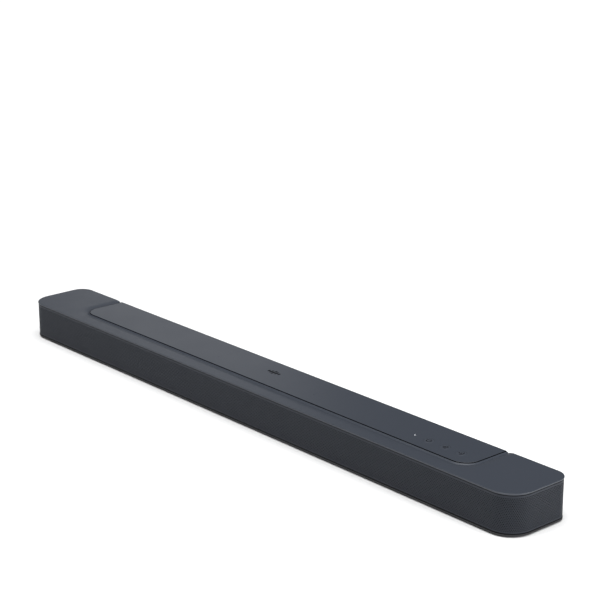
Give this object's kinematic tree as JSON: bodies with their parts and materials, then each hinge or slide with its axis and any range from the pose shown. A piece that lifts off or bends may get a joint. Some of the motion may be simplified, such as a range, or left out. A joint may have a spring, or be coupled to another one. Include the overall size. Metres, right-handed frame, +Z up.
{
  "type": "soundbar",
  "caption": "Long low bar speaker with a perforated wrap-round front, an inlaid top control panel, oval drivers, dome tweeters and two rear connector bays.",
  "frame": {"origin": "on the surface the bar stands on, under the middle of its plan", "axes": "+X to the right along the bar as seen from the front, the front faces -Y, +Z up"},
  "size_m": [1.017, 0.1036, 0.056],
  "materials": {
    "cover_plastic": "fine spark-eroded moulding texture, charcoal",
    "rear_plastic": "moulded black, satin",
    "panel_plastic": "fine matt moulding texture, charcoal",
    "key_plastic": "matt, printed symbols",
    "grille_steel": "perforated sheet, matt powder coat",
    "acoustic_cloth": "thin black woven cloth",
    "foot_rubber": "soft matt rubber",
    "screw_steel": "zinc-plated",
    "insert_brass": "turned brass",
    "basket_steel": "black coated pressed steel",
    "roll_rubber": "soft moulded rubber",
    "magnet_steel": "zinc-plated pot",
    "cone_paper": "pressed black paper",
    "driver_plastic": "moulded black",
    "dome_silk": "coated silk",
    "light_guide": "clear white light guide",
    "board_laminate": "glass-fibre laminate with green solder mask",
    "sink_aluminium": "extruded",
    "socket_steel": "nickel-plated shell",
    "socket_plastic": "moulded black",
    "window_plastic": "smoked diffuser"
  },
  "bodies": {
    "housing": {"antenna_board": "board_laminate", "board_screws": "screw_steel", "bottom_cover": "cover_plastic", "centre_left_woofer_basket": "basket_steel", "centre_left_woofer_motor": "magnet_steel", "centre_left_woofer_surround": "roll_rubber", "centre_right_woofer_basket": "basket_steel", "centre_right_woofer_motor": "magnet_steel", "centre_right_woofer_surround": "roll_rubber", "centre_tweeter_housing": "driver_plastic", "control_panel": "panel_plastic", "cover_screws": "screw_steel", "cover_spacers": "driver_plastic", "display_board": "board_laminate", "display_window": "window_plastic", "driver_screws": "screw_steel", "front_baffle": "rear_plastic", "front_grille": "grille_steel", "grille_cloth": "acoustic_cloth", "hdmi_in_socket": "socket_steel", "hdmi_out_socket": "socket_steel", "heat_sink": "sink_aluminium", "key_board": "board_laminate", "left_front_foot": "foot_rubber", "left_microphone_board": "board_laminate", "left_rear_foot": "foot_rubber", "left_tweeter_housing": "driver_plastic", "left_wall_insert": "insert_brass", "left_woofer_basket": "basket_steel", "left_woofer_motor": "magnet_steel", "left_woofer_surround": "roll_rubber", "main_board": "board_laminate", "optical_socket": "socket_plastic", "power_bay": "rear_plastic", "power_board": "board_laminate", "power_inlet": "socket_plastic", "rear_cover": "rear_plastic", "right_front_foot": "foot_rubber", "right_microphone_board": "board_laminate", "right_rear_foot": "foot_rubber", "right_tweeter_housing": "driver_plastic", "right_wall_insert": "insert_brass", "right_woofer_basket": "basket_steel", "right_woofer_motor": "magnet_steel", "right_woofer_surround": "roll_rubber", "signal_bay": "rear_plastic", "status_light": "light_guide", "top_cover": "cover_plastic", "usb_socket": "socket_steel"},
    "power_button": {"power_button": "key_plastic"},
    "source_button": {"source_button": "key_plastic"},
    "pairing_button": {"pairing_button": "key_plastic"},
    "left_woofer_cone": {"left_woofer_cone": "cone_paper"},
    "centre_left_woofer_cone": {"centre_left_woofer_cone": "cone_paper"},
    "centre_right_woofer_cone": {"centre_right_woofer_cone": "cone_paper"},
    "right_woofer_cone": {"right_woofer_cone": "cone_paper"},
    "centre_tweeter_dome": {"centre_tweeter_dome": "dome_silk"},
    "left_tweeter_dome": {"left_tweeter_dome": "dome_silk"},
    "right_tweeter_dome": {"right_tweeter_dome": "dome_silk"},
    "optical_shutter": {"optical_shutter": "socket_plastic"}
  },
  "joints": [
    {"name": "power_button_press", "type": "slide", "parent": "housing", "child": "power_button", "axis": [0, 0, -1], "range_m": [0, 0.0005], "stiffness_N_per_m": 800, "springref_m": -0.0005},
    {"name": "source_button_press", "type": "slide", "parent": "housing", "child": "source_button", "axis": [0, 0, -1], "range_m": [0, 0.0005], "stiffness_N_per_m": 800, "springref_m": -0.0005},
    {"name": "pairing_button_press", "type": "slide", "parent": "housing", "child": "pairing_button", "axis": [0, 0, -1], "range_m": [0, 0.0005], "stiffness_N_per_m": 800, "springref_m": -0.0005},
    {"name": "left_woofer_excursion", "type": "slide", "parent": "housing", "child": "left_woofer_cone", "axis": [0, -1, 0], "range_m": [-0.0025, 0.0025], "stiffness_N_per_m": 1500},
    {"name": "centre_left_woofer_excursion", "type": "slide", "parent": "housing", "child": "centre_left_woofer_cone", "axis": [0, -1, 0], "range_m": [-0.0025, 0.0025], "stiffness_N_per_m": 1500},
    {"name": "centre_right_woofer_excursion", "type": "slide", "parent": "housing", "child": "centre_right_woofer_cone", "axis": [0, -1, 0], "range_m": [-0.0025, 0.0025], "stiffness_N_per_m": 1500},
    {"name": "right_woofer_excursion", "type": "slide", "parent": "housing", "child": "right_woofer_cone", "axis": [0, -1, 0], "range_m": [-0.0025, 0.0025], "stiffness_N_per_m": 1500},
    {"name": "centre_tweeter_excursion", "type": "slide", "parent": "housing", "child": "centre_tweeter_dome", "axis": [0, -1, 0], "range_m": [-0.0003, 0.0003], "stiffness_N_per_m": 4000},
    {"name": "left_tweeter_excursion", "type": "slide", "parent": "housing", "child": "left_tweeter_dome", "axis": [-1, 0, 0], "range_m": [-0.0003, 0.0003], "stiffness_N_per_m": 4000},
    {"name": "right_tweeter_excursion", "type": "slide", "parent": "housing", "child": "right_tweeter_dome", "axis": [1, 0, 0], "range_m": [-0.0003, 0.0003], "stiffness_N_per_m": 4000},
    {"name": "optical_shutter_hinge", "type": "hinge", "parent": "housing", "child": "optical_shutter", "pos_m": [0.1925, 0.02215, 0.0234], "axis": [-1, 0, 0], "range_deg": [0, 85], "stiffness_Nm_per_rad": 0.0003, "springref_deg": -22.92}
  ]
}
